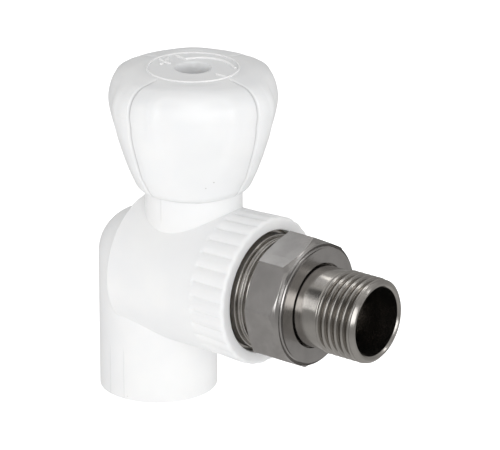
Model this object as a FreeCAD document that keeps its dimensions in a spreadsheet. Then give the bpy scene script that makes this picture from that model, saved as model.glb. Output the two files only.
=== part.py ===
"""Angle valve for a radiator: a plastic elbow with a ball inside and a brass union on its outlet.

Frame: the origin is the centre of the pipe socket's mouth, +Z runs up the socket and +X runs out
along the outlet. All sizes are millimetres and come from the sheet called Dims.
"""

import FreeCAD, Part
import os
import Sketcher

os.makedirs("parts", exist_ok=True)
doc = FreeCAD.newDocument("angle_valve")

# ---------------------------------------------------------------- driving dimensions
SIZES = {
    # moulded body
    "axis_z": 32.4,  # height of the outlet axis
    "socket_rad": 14.65,
    "elbow_top": 45.7,
    "elbow_round": 11.0,
    "barrel_rad": 18.0,
    "barrel_back": -2.0,
    "collar_back": 24.0,
    "collar_face": 34.2,
    "collar_rad": 18.45,
    "reed_count": 30,
    "stem_x": 11.5,  # the stem's axis sits off the socket's axis
    "neck_rad": 12.0,
    "neck_top": 54.25,
    # waterway
    "pipe_rad": 9.75,
    "pipe_deep": 14.5,
    "riser_x": -4.6,
    "riser_rad": 5.6,
    "ball_rad": 10.0,
    "ball_bore": 5.8,
    "cavity_rad": 10.5,
    "seat_rad": 9.0,
    "seat_bore": 6.0,
    "seat_near": 6.4,  # from the ball's centre to a seat's near face
    "seat_far": 9.9,  # from the ball's centre to a seat's far face
    # brass outlet
    "bush_back": 22.0,
    "bush_face": 35.5,
    "bush_rad": 15.3,
    "bush_ring": 14.3,
    "screw_rad": 11.9,
    "bead_rad": 13.7,
    "bead_end": 37.0,
    "male_rad": 12.9,
    "end_face": 45.8,
    "bore_rad": 6.5,
    "tail_seat": 8.8,
    # union
    "nut_back": 39.0,
    "nut_face": 50.0,
    "nut_flat": 15.2,  # half the distance across flats
    "nut_bore": 13.05,
    "nut_lip": 48.3,
    "nut_hole": 10.6,
    "tail_collar": 11.9,
    "tail_neck": 10.05,
    "thread_rad": 10.48,
    "thread_back": 56.6,
    "tail_end": 67.5,
    "tail_bore": 8.2,
    # spindle
    "ledge_z": 44.0,
    "neck_bore": 7.0,
    "insert_back": 47.0,
    "insert_rad": 9.6,
    "insert_bore": 7.4,
    "gland_head": 57.6,
    "stem_rad": 4.0,
    "stem_hole": 4.06,
    "square": 5.6,
    "stem_top": 70.0,
    "hub_z": 59.1,
    # knob
    "knob_rim": 54.4,
    "knob_top": 84.8,
    "knob_foot": 12.3,
    "knob_belly": 77.0,  # height of the widest place
    "knob_wide": 20.7,  # to a lobe's tip
    "knob_corner": 22.4,  # to the rounded corner between two lobes
    "knob_disc": 11.3,
    "knob_brow": 84.4,  # height where the shoulder turns over to the flat top
    "knob_hollow": 10.3,  # radius of the open underside
    "hub_rad": 6.4,
    "well_rad": 4.4,
    "well_floor": 70.6,
}

LOBE_TURN = 37.9  # degrees from +X to a lobe's tip, with the valve open

sheet = doc.addObject("Spreadsheet::Sheet", "Dims")
for row, (name, value) in enumerate(SIZES.items(), start=1):
    sheet.set(f"A{row}", name)
    sheet.set(f"B{row}", str(value))
    sheet.setAlias(f"B{row}", name)
doc.recompute()


# ---------------------------------------------------------------- helpers
def size(term):
    """A term is a number, a sheet name (a minus sign takes it away) or a sum of them: its value now."""
    if isinstance(term, tuple):
        return sum(size(item) for item in term)
    if isinstance(term, str):
        return -SIZES[term[1:]] if term[0] == "-" else SIZES[term]
    return term


def formula(term):
    """The same term written as an expression on the sheet."""
    if isinstance(term, tuple):
        return " + ".join(f"({formula(item)})" for item in term)
    if isinstance(term, str):
        return f"-Dims.{term[1:]}" if term[0] == "-" else f"Dims.{term}"
    return f"{term}"


def bind(thing, **values):
    """Ties properties of a document object to the sheet."""
    for prop, term in values.items():
        thing.setExpression(prop.replace("_", "."), formula(term))


def plane_of(body, role):
    return next(f for f in body.Origin.OriginFeatures if f.Role == role)


def cylinder(name, rad, low, high, along="Z", x=0.0, z=0.0):
    """A cylinder between two stations on its axis, along Z at x or along X at height z."""
    part = doc.addObject("Part::Cylinder", name)
    part.setExpression("Radius", formula(rad))
    part.setExpression("Height", f"({formula(high)}) - ({formula(low)})")
    if along == "X":
        part.Placement.Rotation = FreeCAD.Rotation(FreeCAD.Vector(0, 1, 0), 90)
        part.setExpression("Placement.Base.x", formula(low))
        part.setExpression("Placement.Base.z", formula(z))
    else:
        part.setExpression("Placement.Base.x", formula(x))
        part.setExpression("Placement.Base.z", formula(low))
    return part


def box(name, wide, deep, low, high, x=0.0):
    """A box centred on the plane Y = 0 and on x, between two heights."""
    part = doc.addObject("Part::Box", name)
    part.setExpression("Length", formula(wide))
    part.setExpression("Width", formula(deep))
    part.setExpression("Height", f"({formula(high)}) - ({formula(low)})")
    part.setExpression("Placement.Base.x", f"({formula(x)}) - ({formula(wide)}) / 2")
    part.setExpression("Placement.Base.y", f"-({formula(deep)}) / 2")
    part.setExpression("Placement.Base.z", formula(low))
    return part


def profile(body, name, role, points, swap=False):
    """A closed sketch through (first, second) points on one of the body's origin planes.

    A third item on a point is a point that the edge arriving there bends through as an arc.
    """
    sketch = body.newObject("Sketcher::SketchObject", name)
    sketch.AttachmentSupport = [(plane_of(body, role), "")]
    sketch.MapMode = "FlatFace"

    def flat(pair):
        pair = pair[::-1] if swap else pair
        return FreeCAD.Vector(size(pair[0]), size(pair[1]), 0)

    count = len(points)
    ends = []
    for i in range(count):
        start = flat(points[i][:2])
        target = points[(i + 1) % count]
        stop = flat(target[:2])
        if len(target) == 2:
            sketch.addGeometry(Part.LineSegment(start, stop), False)
            ends.append((1, 2))
            continue
        curve = Part.ArcOfCircle(start, flat(target[2]), stop)
        sketch.addGeometry(curve, False)
        forward = sketch.Geometry[i].StartPoint.distanceToPoint(start) < 1e-6
        ends.append((1, 2) if forward else (2, 1))
        sketch.addConstraint(Sketcher.Constraint("Radius", i, curve.Radius))
    for i in range(count):
        after = (i + 1) % count
        sketch.addConstraint(Sketcher.Constraint("Coincident", i, ends[i][1], after, ends[after][0]))
    for i, point in enumerate(points):
        pair = point[:2][::-1] if swap else point[:2]
        for kind, term in zip(("DistanceX", "DistanceY"), pair):
            if size(term) == 0:
                axis = -2 if kind == "DistanceX" else -1
                sketch.addConstraint(Sketcher.Constraint("PointOnObject", i, ends[i][0], axis))
                continue
            index = sketch.addConstraint(
                Sketcher.Constraint(kind, -1, 1, i, ends[i][0], size(term))
            )
            sketch.setExpression(f"Constraints[{index}]", formula(term))
    return sketch


def turned(name, points, along="X"):
    """A body turned from a closed profile of (station, radius) points, both tied to the sheet.

    Along X it lies on the outlet's axis, along Z on the stem's axis.
    """
    body = doc.addObject("PartDesign::Body", name)
    role = "XY_Plane" if along == "X" else "XZ_Plane"
    sketch = profile(body, name + "_profile", role, points, swap=along == "Z")
    spin = body.newObject("PartDesign::Revolution", name + "_turning")
    spin.Profile = sketch
    spin.ReferenceAxis = (sketch, ["H_Axis" if along == "X" else "V_Axis"])
    spin.Angle = 360
    body.Tip = spin
    if along == "X":
        body.setExpression("Placement.Base.z", "Dims.axis_z")
    else:
        body.setExpression("Placement.Base.x", "Dims.stem_x")
    return body


def ring(name, wide, thick, station, along="X"):
    """A round sealing ring, wide to its section's centre, on the outlet's or the stem's axis."""
    part = doc.addObject("Part::Torus", name)
    part.setExpression("Radius1", formula(wide))
    part.setExpression("Radius2", formula(thick))
    if along == "X":
        part.Placement.Rotation = FreeCAD.Rotation(FreeCAD.Vector(0, 1, 0), 90)
        part.setExpression("Placement.Base.x", formula(station))
        part.setExpression("Placement.Base.z", "Dims.axis_z")
    else:
        part.setExpression("Placement.Base.x", "Dims.stem_x")
        part.setExpression("Placement.Base.z", formula(station))
    return part


def fused(name, parts):
    whole = doc.addObject("Part::MultiFuse", name)
    whole.Shapes = parts
    return whole


def minus(name, base, tool):
    rest = doc.addObject("Part::Cut", name)
    rest.Base = base
    rest.Tool = tool
    return rest


def rounded(name, base, rad, chosen):
    """Fillets the edges of base for which chosen(edge) is true."""
    doc.recompute()
    part = doc.addObject("Part::Fillet", name)
    part.Base = base
    part.Edges = [
        (i, rad, rad) for i, edge in enumerate(base.Shape.Edges, start=1) if chosen(edge)
    ]
    return part


def grooves(back, rad, deep, starts, wide=1.2):
    """Profile points of the grooves that key a moulded-in insert, each starting so far from its back."""
    points = []
    for start in starts:
        points += [((back, start), rad), ((back, start), (rad, -deep))]
        points += [((back, start + wide), (rad, -deep)), ((back, start + wide), rad)]
    return points


def round_stem(angle, x, y, z):
    """A placement at (x, y) carried round the stem's axis by an angle, at height z."""
    turn = FreeCAD.Rotation(FreeCAD.Vector(0, 0, 1), angle)
    spot = turn.multVec(FreeCAD.Vector(x, y, 0))
    return FreeCAD.Placement(FreeCAD.Vector(SIZES["stem_x"] + spot.x, spot.y, z), turn)


NODES = []


def node(name, thing):
    """Names a finished sub-part and puts it on the list of files to write."""
    thing.Label = name
    NODES.append((name, thing))
    return thing


# ---------------------------------------------------------------- moulded plastic body
# One injection moulding: socket and elbow, ball barrel, stem neck and reeded collar.
elbow_block = cylinder("elbow_block", "socket_rad", 0.0, "elbow_top")
elbow = rounded("elbow", elbow_block, SIZES["elbow_round"], lambda e: e.BoundBox.ZMin > 40)
barrel_front = ("collar_back", 0.5)
barrel_block = cylinder("barrel_block", "barrel_rad", "barrel_back", barrel_front, "X", z="axis_z")
barrel = rounded("barrel", barrel_block, 0.8, lambda e: e.BoundBox.XMax < SIZES["barrel_back"] + 0.1)
neck = cylinder("neck", "neck_rad", "axis_z", "neck_top", x="stem_x")

# The collar's reeds: one groove between two reeds cut in a plain ring, then repeated round the axis.
collar = turned(
    "collar_form",
    [
        ("collar_back", 8.0),
        ("collar_back", "collar_rad"),
        (("collar_face", -1.5), "collar_rad"),
        ("collar_face", ("collar_rad", -1.5), (("collar_face", -0.44), ("collar_rad", -0.44))),
        ("collar_face", 8.0),
    ],
)
groove = profile(
    collar,
    "groove_section",
    "YZ_Plane",
    [
        (-1.8, ("collar_rad", 0.6)),
        (-1.8, "collar_rad"),
        (-0.95, ("collar_rad", -0.2)),
        (0.0, ("collar_rad", -0.65)),
        (0.95, ("collar_rad", -0.2)),
        (1.8, "collar_rad"),
        (1.8, ("collar_rad", 0.6)),
    ],
)
groove.setExpression("AttachmentOffset.Base.z", "Dims.collar_face - 1.7")
doc.recompute()
before = collar.Shape.Volume
cut = collar.newObject("PartDesign::Pocket", "groove_cut")
cut.Profile = groove
cut.Type = "Length"
cut.setExpression("Length", "Dims.collar_face - Dims.collar_back - 2.1")
collar.Tip = cut
doc.recompute()
if collar.Shape.Volume > before - 1:
    cut.Reversed = True
reeds = collar.newObject("PartDesign::PolarPattern", "reeds")
reeds.Originals = [cut]
reeds.Axis = (groove, ["N_Axis"])
reeds.Angle = 360
reeds.setExpression("Occurrences", "Dims.reed_count")
collar.Tip = reeds

outside = fused("body_outside", [elbow, barrel, neck, collar])

# Inside: pipe socket, riser, the ball's room with the bush's seat, and the spindle's stepped bore.
BUSH_KEYING = grooves("bush_back", "bush_rad", 0.8, (3.0, 7.2))
INSERT_KEYING = grooves("insert_back", "insert_rad", 0.7, (2.6,))
pipe_hole = cylinder("pipe_hole", "pipe_rad", -1.0, "pipe_deep")
riser = cylinder("riser", "riser_rad", ("pipe_deep", -1.0), ("axis_z", 5.6), x="riser_x")
passage = cylinder("passage", "riser_rad", "riser_x", 3.0, "X", z="axis_z")
ball_room = turned(
    "ball_room",
    [
        (("stem_x", "-seat_far"), 0.0),
        (("stem_x", "-seat_far"), "seat_rad"),
        (("stem_x", "-seat_near", 0.1), "seat_rad"),
        (("stem_x", "-seat_near", 0.1), "cavity_rad"),
        ("bush_back", "cavity_rad"),
        ("bush_back", "bush_rad"),
        *BUSH_KEYING,
        (("bush_back", 10.6), "bush_rad"),
        (("bush_back", 10.6), "bush_ring"),
        (("bush_face", 1.0), "bush_ring"),
        (("bush_face", 1.0), 0.0),
    ],
)
spindle_room = turned(
    "spindle_room",
    [
        (38.0, 0.0),
        (38.0, 5.0),
        ("ledge_z", 5.0),
        ("ledge_z", "neck_bore"),
        ("insert_back", "neck_bore"),
        ("insert_back", "insert_rad"),
        *INSERT_KEYING,
        (("neck_top", 1.0), "insert_rad"),
        (("neck_top", 1.0), 0.0),
    ],
    "Z",
)
inside = fused("body_inside", [pipe_hole, riser, passage, ball_room, spindle_room])
node("valve_body", minus("valve_body_cut", outside, inside))

# ---------------------------------------------------------------- brass bush moulded in the collar
node(
    "outlet_bush",
    turned(
        "outlet_bush",
        [
            ("bush_back", "screw_rad"),
            ("bush_back", "bush_rad"),
            *BUSH_KEYING,
            (("bush_back", 10.6), "bush_rad"),
            (("bush_back", 10.6), "bush_ring"),
            (("bush_face", -0.35), "bush_ring"),
            ("bush_face", ("bush_ring", -0.35), (("bush_face", -0.1), ("bush_ring", -0.1))),
            ("bush_face", ("screw_rad", 1.3)),
            (("bush_face", -1.4), ("screw_rad", 1.3)),
            (("bush_face", -1.4), "screw_rad"),
        ],
    ),
)
node("bush_o_ring", ring("bush_o_ring", ("screw_rad", 0.65), 0.6, ("bush_face", -0.7)))

# ---------------------------------------------------------------- union end piece
# Screwed into the bush: it holds the front seat and carries the male thread for the union nut.
node(
    "union_end_piece",
    turned(
        "union_end_piece",
        [
            (("stem_x", "seat_near"), "seat_rad"),
            (("stem_x", "seat_near"), ("cavity_rad", -0.1)),
            (("bush_back", 0.3), ("cavity_rad", -0.1)),
            (("bush_back", 0.9), "screw_rad"),
            (("bush_face", 0.05), "screw_rad"),
            (("bush_face", 0.05), ("bead_rad", -0.4)),
            (("bush_face", 0.45), "bead_rad"),
            (("bead_end", -0.6), "bead_rad"),
            ("bead_end", ("bead_rad", -0.6)),
            ("bead_end", ("male_rad", -0.9)),
            (("bead_end", 1.0), ("male_rad", -0.9)),
            (("bead_end", 1.6), "male_rad"),
            (("end_face", -0.9), "male_rad"),
            ("end_face", ("male_rad", -0.9)),
            ("end_face", ("tail_seat", 0.3)),
            (("end_face", -0.4), "tail_seat"),
            (("end_face", -4.6), "tail_seat"),
            (("end_face", -6.4), "bore_rad"),
            (("stem_x", "seat_far"), "bore_rad"),
            (("stem_x", "seat_far"), "seat_rad"),
        ],
    ),
)

# ---------------------------------------------------------------- ball and seats
ball_blank = doc.addObject("Part::Sphere", "ball_blank")
bind(ball_blank, Radius="ball_rad", Placement_Base_x="stem_x", Placement_Base_z="axis_z")
ball_way = cylinder("ball_way", "ball_bore", 0.0, 23.0, "X", z="axis_z")
ball_slot = box("ball_slot", 3.0, 24.0, ("axis_z", 7.6), ("axis_z", 11.0), x="stem_x")
node("ball", minus("ball_cut", ball_blank, fused("ball_tools", [ball_way, ball_slot])))

for name, side in (("rear_seat", "-"), ("front_seat", "")):
    blank = turned(
        name + "_blank",
        [
            (("stem_x", side + "seat_far"), "seat_bore"),
            (("stem_x", side + "seat_far"), "seat_rad"),
            (("stem_x", side + "seat_near"), "seat_rad"),
            (("stem_x", side + "seat_near"), "seat_bore"),
        ],
    )
    bowl = doc.addObject("Part::Sphere", name + "_bowl")
    bind(bowl, Radius=("ball_rad", 0.03), Placement_Base_x="stem_x", Placement_Base_z="axis_z")
    node(name, minus(name + "_cut", blank, bowl))

# ---------------------------------------------------------------- spindle seal
# A brass insert is moulded in the neck; the gland screws into it and holds the stem down.
node(
    "neck_insert",
    turned(
        "neck_insert",
        [
            ("insert_back", "insert_bore"),
            ("insert_back", "insert_rad"),
            *INSERT_KEYING,
            ("neck_top", "insert_rad"),
            ("neck_top", "insert_bore"),
        ],
        "Z",
    ),
)
gland_body = turned(
    "gland_body",
    [
        (("ledge_z", 2.3), "stem_hole"),
        (("ledge_z", 2.3), ("neck_bore", -0.1)),
        (("insert_back", 0.1), ("neck_bore", -0.1)),
        (("insert_back", 0.1), 6.0),
        (("insert_back", 1.6), 6.0),
        (("insert_back", 1.6), "insert_bore"),
        (("neck_top", 0.1), "insert_bore"),
        (("neck_top", 0.1), "stem_hole"),
    ],
    "Z",
)
hexagon = doc.addObject("Part::Prism", "gland_hexagon")
hexagon.Polygon = 6
hexagon.setExpression("Circumradius", "8 / cos(30)")
hexagon.setExpression("Height", "Dims.gland_head - Dims.neck_top")
bind(hexagon, Placement_Base_x="stem_x", Placement_Base_z="neck_top")
gland_hole = cylinder("gland_hole", "stem_hole", ("neck_top", -1.0), ("gland_head", 3.0), x="stem_x")
lug = turned(
    "stop_lug_ring",
    [("gland_head", 5.2), ("gland_head", 7.6), (("gland_head", 1.3), 7.6), (("gland_head", 1.3), 5.2)],
    "Z",
)
lug.Tip.Angle = 30
lug.Placement.Rotation = FreeCAD.Rotation(FreeCAD.Vector(0, 0, 1), 120)
gland_whole = fused("gland_whole", [gland_body, hexagon, lug])
node("gland_screw", minus("gland_cut", gland_whole, gland_hole))
node("gland_o_ring", ring("gland_o_ring", 6.7, 0.68, ("insert_back", 0.85), "Z"))

# ---------------------------------------------------------------- stem and what turns with it
stem_bar = turned(
    "stem_bar",
    [
        (("axis_z", 10.1), 0.0),
        (("axis_z", 10.1), 4.5),
        (("ledge_z", 0.05), 4.5),
        (("ledge_z", 0.05), ("neck_bore", -0.3)),
        (("ledge_z", 1.6), ("neck_bore", -0.3)),
        (("ledge_z", 1.6), "stem_rad"),
        (("insert_back", 1.2), "stem_rad"),
        (("insert_back", 1.2), 2.9),
        (("insert_back", 2.6), 2.9),
        (("insert_back", 2.6), "stem_rad"),
        (("insert_back", 4.2), "stem_rad"),
        (("insert_back", 4.2), 2.9),
        (("insert_back", 5.6), 2.9),
        (("insert_back", 5.6), "stem_rad"),
        (("gland_head", 0.1), "stem_rad"),
        (("gland_head", 0.1), 0.0),
    ],
    "Z",
)
tongue = box("stem_tongue", 2.8, 8.6, ("axis_z", 7.7), ("axis_z", 10.3), x="stem_x")
stem_square = box("stem_square", "square", "square", "gland_head", "stem_top", x="stem_x")
screw_hole = cylinder("stem_screw_hole", 2.0, 61.5, ("stem_top", 1.0), x="stem_x")
stem_whole = fused("stem_whole", [stem_bar, tongue, stem_square])
node("stem", minus("stem_cut", stem_whole, screw_hole))
seals = [ring(f"stem_ring_{i}", 3.46, 0.56, ("insert_back", up), "Z") for i, up in enumerate((1.9, 4.9))]
pair = doc.addObject("Part::Compound", "stem_ring_pair")
pair.Links = seals
node("stem_o_rings", pair)
node(
    "stem_thrust_washer",
    turned(
        "stem_thrust_washer",
        [
            (("ledge_z", 1.63), ("stem_rad", 0.05)),
            (("ledge_z", 1.63), ("neck_bore", -0.3)),
            (("ledge_z", 2.25), ("neck_bore", -0.3)),
            (("ledge_z", 2.25), ("stem_rad", 0.05)),
        ],
        "Z",
    ),
)

# The stop washer sits on the square; its window lets the gland's lug pass through a quarter turn.
washer_disc = turned(
    "stop_disc",
    [
        (("gland_head", 0.15), 0.0),
        (("gland_head", 0.15), 8.0),
        (("hub_z", -0.1), 8.0),
        (("hub_z", -0.1), 0.0),
    ],
    "Z",
)
window = turned(
    "stop_window",
    [("gland_head", 5.0), ("gland_head", 9.0), (("hub_z", 1.0), 9.0), (("hub_z", 1.0), 5.0)],
    "Z",
)
window.Tip.Angle = 122
window.Placement.Rotation = FreeCAD.Rotation(FreeCAD.Vector(0, 0, 1), 119)
washer_square = box("stop_square", "square", "square", "gland_head", ("hub_z", 1.0), x="stem_x")
washer_tools = fused("stop_tools", [window, washer_square])
node("stop_washer", minus("stop_cut", washer_disc, washer_tools))

# ---------------------------------------------------------------- knob
# A thick moulding with four lobes, cored from below round a hub that grips the stem's square.
# Its shape is a turned bell with each side pressed flat, so the lobes' tips are broad thumb faces.
knob_bell = turned(
    "knob_bell",
    [
        ("knob_rim", 0.0),
        ("knob_rim", "knob_foot"),
        ("knob_belly", "knob_corner", (65.0, 19.3)),
        ("knob_brow", ("knob_disc", 4.5), (82.2, 20.7)),
        ("knob_top", "knob_disc"),
        ("knob_top", 0.0),
    ],
    "Z",
)
sides = []
for i in range(2):
    side = doc.addObject("PartDesign::Body", f"knob_side_{i}")
    outline = profile(
        side,
        f"knob_side_outline_{i}",
        "XZ_Plane",
        [
            ("knob_foot", "knob_rim"),
            ("knob_wide", "knob_belly", (17.9, 64.5)),
            (15.6, "knob_brow", (19.3, 82.0)),
            ("knob_disc", "knob_top"),
            ("-knob_disc", "knob_top"),
            (-15.6, "knob_brow"),
            ("-knob_wide", "knob_belly", (-19.3, 82.0)),
            ("-knob_foot", "knob_rim", (-17.9, 64.5)),
        ],
    )
    thick = side.newObject("PartDesign::Pad", f"knob_side_pad_{i}")
    thick.Profile = outline
    thick.Midplane = True
    thick.Length = 60.0
    side.Tip = thick
    side.Placement.Rotation = FreeCAD.Rotation(FreeCAD.Vector(0, 0, 1), LOBE_TURN + 90 * i)
    side.setExpression("Placement.Base.x", "Dims.stem_x")
    sides.append(side)
knob_blank = doc.addObject("Part::MultiCommon", "knob_blank")
knob_blank.Shapes = [knob_bell] + sides

# Between the lobes a V groove follows the bell's corner, deepest at the belly.
notches = []
for i in range(4):
    notch = doc.addObject("Part::Prism", f"knob_notch_{i}")
    notch.Polygon = 3
    notch.Circumradius = 3.2
    notch.Height = 30.0
    lean = FreeCAD.Rotation(FreeCAD.Vector(0, 1, 0), 6.0)
    point_in = FreeCAD.Rotation(FreeCAD.Vector(0, 0, 1), 180)
    facing = FreeCAD.Placement(FreeCAD.Vector(0, 0, 0), lean.multiply(point_in))
    notch.Placement = round_stem(LOBE_TURN + 45 + 90 * i, 21.7, 0.0, 61.0).multiply(facing)
    notches.append(notch)
knob_well = cylinder("knob_well", "well_rad", "well_floor", ("knob_top", 1.0), x="stem_x")
knob_skirt = cylinder("knob_skirt", "knob_hollow", ("knob_rim", -1.0), "hub_z", x="stem_x")
knob_socket = box("knob_socket", "square", "square", ("hub_z", -1.0), ("well_floor", 0.5), x="stem_x")
core_ring = turned(
    "knob_core",
    [
        (("hub_z", -0.5), "hub_rad"),
        (("hub_z", -0.5), "knob_hollow"),
        (73.0, ("knob_hollow", -0.3)),
        (73.0, "hub_rad"),
    ],
    "Z",
)
RIB_LONG = 30.0
RIB_THICK = 1.8
ribs = []
for i in range(2):
    rib = doc.addObject("Part::Box", f"knob_rib_{i}")
    rib.Length = RIB_LONG
    rib.Width = RIB_THICK
    rib.Height = 20.0
    rib.Placement = round_stem(LOBE_TURN + 90 * i, -RIB_LONG / 2, -RIB_THICK / 2, SIZES["hub_z"])
    ribs.append(rib)
core = minus("knob_core_open", core_ring, fused("knob_ribs", ribs))
knob_tools = fused("knob_tools", notches + [knob_well, knob_skirt, knob_socket, core])
node("knob", minus("knob_cut", knob_blank, knob_tools))

node(
    "knob_washer",
    turned(
        "knob_washer",
        [
            ("well_floor", 2.05),
            ("well_floor", ("well_rad", -0.2)),
            (("well_floor", 0.7), ("well_rad", -0.2)),
            (("well_floor", 0.7), 2.05),
        ],
        "Z",
    ),
)
screw_blank = turned(
    "knob_screw_blank",
    [
        (62.4, 0.0),
        (62.4, 1.4),
        (63.0, 2.0),
        (("well_floor", 0.7), 2.0),
        (("well_floor", 0.7), 3.7),
        (("well_floor", 2.2), 3.7),
        (("well_floor", 3.0), 2.6),
        (("well_floor", 3.0), 0.0),
    ],
    "Z",
)
cross = [
    box("cross_1", 3.6, 0.9, ("well_floor", 1.6), ("well_floor", 4.0), x="stem_x"),
    box("cross_2", 0.9, 3.6, ("well_floor", 1.6), ("well_floor", 4.0), x="stem_x"),
]
node("knob_screw", minus("knob_screw_cut", screw_blank, fused("knob_cross", cross)))

# ---------------------------------------------------------------- union nut and tail
NUT_TURN = -5.7  # degrees the octagon stands turned about the outlet
octagon = doc.addObject("Part::Prism", "nut_octagon")
octagon.Polygon = 8
octagon.setExpression("Circumradius", "Dims.nut_flat / cos(22.5)")
octagon.setExpression("Height", "Dims.nut_face - Dims.nut_back")
nut_turn = FreeCAD.Rotation(FreeCAD.Vector(1, 0, 0), NUT_TURN)
octagon.Placement.Rotation = nut_turn.multiply(FreeCAD.Rotation(FreeCAD.Vector(0, 1, 0), 90))
bind(octagon, Placement_Base_x="nut_back", Placement_Base_z="axis_z")
nut_turning = turned(
    "nut_turning",
    [
        ("nut_back", "nut_bore"),
        ("nut_back", ("nut_flat", -0.5)),
        (("nut_back", 0.4), ("nut_flat", -0.1), (("nut_back", 0.1), ("nut_flat", -0.25))),
        (("nut_back", 1.1), 16.8),
        (("nut_face", -3.2), 16.8),
        (("nut_face", -1.9), ("nut_flat", -0.02)),
        (("nut_face", -0.8), ("nut_flat", -0.1)),
        ("nut_face", ("nut_flat", -0.9), (("nut_face", -0.23), ("nut_flat", -0.33))),
        ("nut_face", "nut_hole"),
        ("nut_lip", "nut_hole"),
        ("nut_lip", "nut_bore"),
    ],
)
nut_bar = rounded(
    "nut_bar", octagon, 0.2, lambda e: e.BoundBox.XLength > SIZES["nut_face"] - SIZES["nut_back"] - 0.1
)
nut_turned = doc.addObject("Part::MultiCommon", "nut_turned")
nut_turned.Shapes = [nut_bar, nut_turning]

# One corner is dressed down to a narrow facet, five degrees off the flat beside it.
FACET_LEAN = 21.8
FACET_WIDE = 12.0
FACET_OUT = 0.245  # how far beyond the flats the facet lies
facet_cut = doc.addObject("Part::Box", "facet_cut")
facet_cut.Length = 13.0
facet_cut.Width = FACET_WIDE
facet_cut.Height = 3.0
lean = FreeCAD.Rotation(FreeCAD.Vector(1, 0, 0), FACET_LEAN)
facet_corner = lean.multVec(FreeCAD.Vector(-1.0, -FACET_WIDE / 2, SIZES["nut_flat"] + FACET_OUT))
facet_cut.Placement.Rotation = lean
bind(
    facet_cut,
    Placement_Base_x=("nut_back", facet_corner.x),
    Placement_Base_y=facet_corner.y,
    Placement_Base_z=("axis_z", facet_corner.z),
)
node("union_nut", minus("nut_dressed", nut_turned, facet_cut))

tail_blank = turned(
    "tail_blank",
    [
        (("end_face", -4.2), 6.2),
        (("end_face", -4.2), 8.4),
        (("end_face", -3.9), 8.72),
        (("end_face", -3.2), 8.72),
        (("end_face", -3.2), 7.3),
        (("end_face", -1.6), 7.3),
        (("end_face", -1.6), 8.72),
        (("end_face", 0.1), 8.72),
        (("end_face", 0.1), "tail_collar"),
        (("nut_lip", -0.05), "tail_collar"),
        (("nut_lip", -0.05), "tail_neck"),
        ("thread_back", "tail_neck"),
        (("thread_back", 0.3), "thread_rad"),
        (("tail_end", -0.9), "thread_rad"),
        ("tail_end", ("thread_rad", -1.0)),
        ("tail_end", ("tail_bore", 0.5)),
        (("tail_end", -0.5), "tail_bore"),
        (("end_face", 2.0), "tail_bore"),
        (("end_face", 0.4), 6.2),
    ],
)
# Two lugs in the bore take the key that screws the tail into the radiator.
upper_lug = box("upper_lug", 9.0, 1.6, ("axis_z", "tail_bore", -0.9), ("axis_z", "tail_bore", 0.3), x=53.5)
lower_lug = box("lower_lug", 9.0, 1.6, ("axis_z", "-tail_bore", -0.3), ("axis_z", "-tail_bore", 0.9), x=53.5)
node("tail_piece", fused("tail_whole", [tail_blank, upper_lug, lower_lug]))
node("tail_o_ring", ring("tail_o_ring", 8.03, 0.7, ("end_face", -2.4)))

# ---------------------------------------------------------------- check and write
doc.recompute()
for thing in doc.Objects:
    if "Invalid" in thing.State or "Error" in thing.State:
        raise SystemExit(f"{thing.Name} did not rebuild: {thing.State}")
for name, thing in NODES:
    shape = thing.Shape
    if shape.isNull() or not shape.isValid() or not shape.Solids:
        raise SystemExit(f"{name} has no valid solid")
    shape.exportStep(os.path.join("parts", name + ".step"))
    box_now = shape.BoundBox
    print(
        f"{name:20s} solids {len(shape.Solids)}  volume {shape.Volume:9.1f}  "
        f"x {box_now.XMin:6.2f} {box_now.XMax:6.2f}  z {box_now.ZMin:6.2f} {box_now.ZMax:6.2f}"
    )
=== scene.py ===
"""A quarter-turn angle stop valve for a radiator: moulded white body and knob, nickel-plated union and tail.

Metres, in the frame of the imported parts. The origin is the middle of the pipe socket's mouth, +Z runs up
the socket and the stem, and +X runs out along the union. Sizes are written in millimetres, times MM.
"""

import math

import bmesh
import bpy
from mathutils import Matrix, Vector


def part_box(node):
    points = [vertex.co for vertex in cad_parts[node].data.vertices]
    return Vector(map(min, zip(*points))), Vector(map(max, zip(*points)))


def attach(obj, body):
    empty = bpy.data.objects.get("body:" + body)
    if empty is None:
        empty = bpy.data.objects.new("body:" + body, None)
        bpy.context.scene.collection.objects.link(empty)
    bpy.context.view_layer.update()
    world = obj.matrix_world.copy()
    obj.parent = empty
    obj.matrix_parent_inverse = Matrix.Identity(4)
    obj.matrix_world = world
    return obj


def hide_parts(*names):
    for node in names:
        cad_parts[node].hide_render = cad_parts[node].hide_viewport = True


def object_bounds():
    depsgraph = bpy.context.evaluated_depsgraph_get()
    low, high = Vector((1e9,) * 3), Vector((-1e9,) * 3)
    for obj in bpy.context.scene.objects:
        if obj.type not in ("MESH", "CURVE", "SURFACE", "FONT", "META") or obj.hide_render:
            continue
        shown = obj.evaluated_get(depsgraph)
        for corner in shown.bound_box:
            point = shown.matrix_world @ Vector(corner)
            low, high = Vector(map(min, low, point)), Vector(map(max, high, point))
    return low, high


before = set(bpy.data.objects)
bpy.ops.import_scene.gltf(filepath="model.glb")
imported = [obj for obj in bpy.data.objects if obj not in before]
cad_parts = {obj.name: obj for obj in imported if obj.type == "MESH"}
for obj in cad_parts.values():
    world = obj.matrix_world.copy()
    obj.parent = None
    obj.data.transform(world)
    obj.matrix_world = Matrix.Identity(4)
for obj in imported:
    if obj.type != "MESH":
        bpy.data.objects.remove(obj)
cad_low, cad_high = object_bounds()

# ---------------------------------------------------------------------------------------------------------
# The valve body: one injection moulding in white pipe plastic, a socket that bends into a thick barrel with
# the stem's neck on top. It carries a faint parting line and the odd fleck of dust.
# ---------------------------------------------------------------------------------------------------------

MM = 0.001
TURN = 2 * math.pi

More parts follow.
